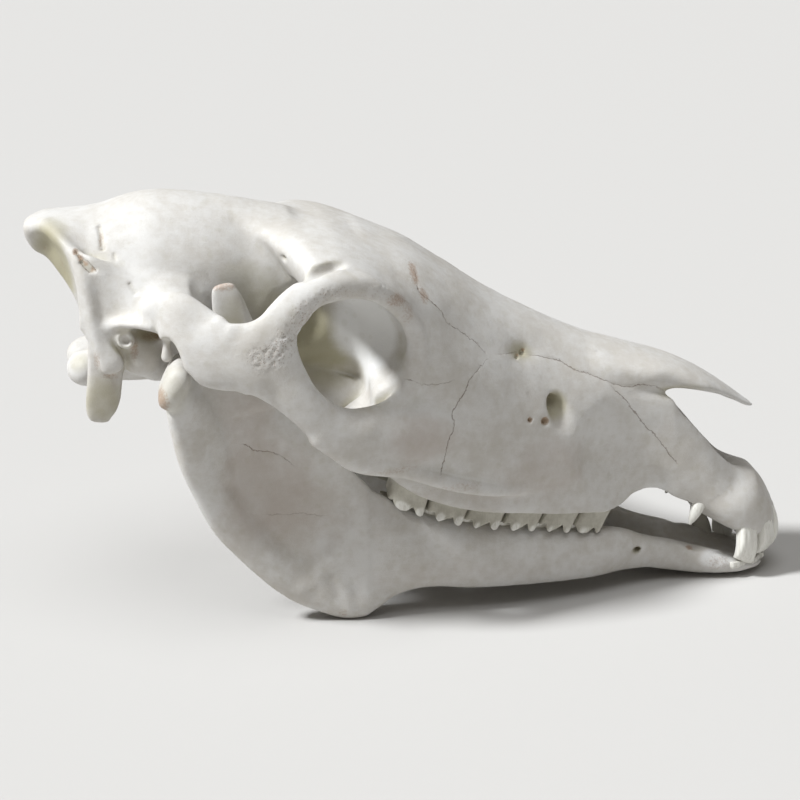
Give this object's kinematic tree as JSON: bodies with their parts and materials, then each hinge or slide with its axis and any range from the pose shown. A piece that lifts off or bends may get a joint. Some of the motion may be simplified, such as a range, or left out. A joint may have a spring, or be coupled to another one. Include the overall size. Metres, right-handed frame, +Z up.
{
  "type": "zebra skull",
  "caption": "Bleached zebra skull with its lower jaw, life size, lying with the mouth closed: long face, ringed eye sockets, cheek arches, cheek teeth and front teeth.",
  "frame": {"origin": "centre of the box's base, on the floor that the lower jaw's angles and chin rest on", "axes": "+X towards the front teeth, +Y towards the animal's left, +Z up"},
  "size_m": [0.4912, 0.2084, 0.2672],
  "materials": {
    "cranium_bone": "bleached, dry bone, faintly rough, with ivory teeth",
    "jaw_bone": "bleached, dry bone, faintly rough, with ivory teeth"
  },
  "bodies": {
    "root": {"cranium": "cranium_bone", "mandible": "jaw_bone"}
  },
  "joints": []
}
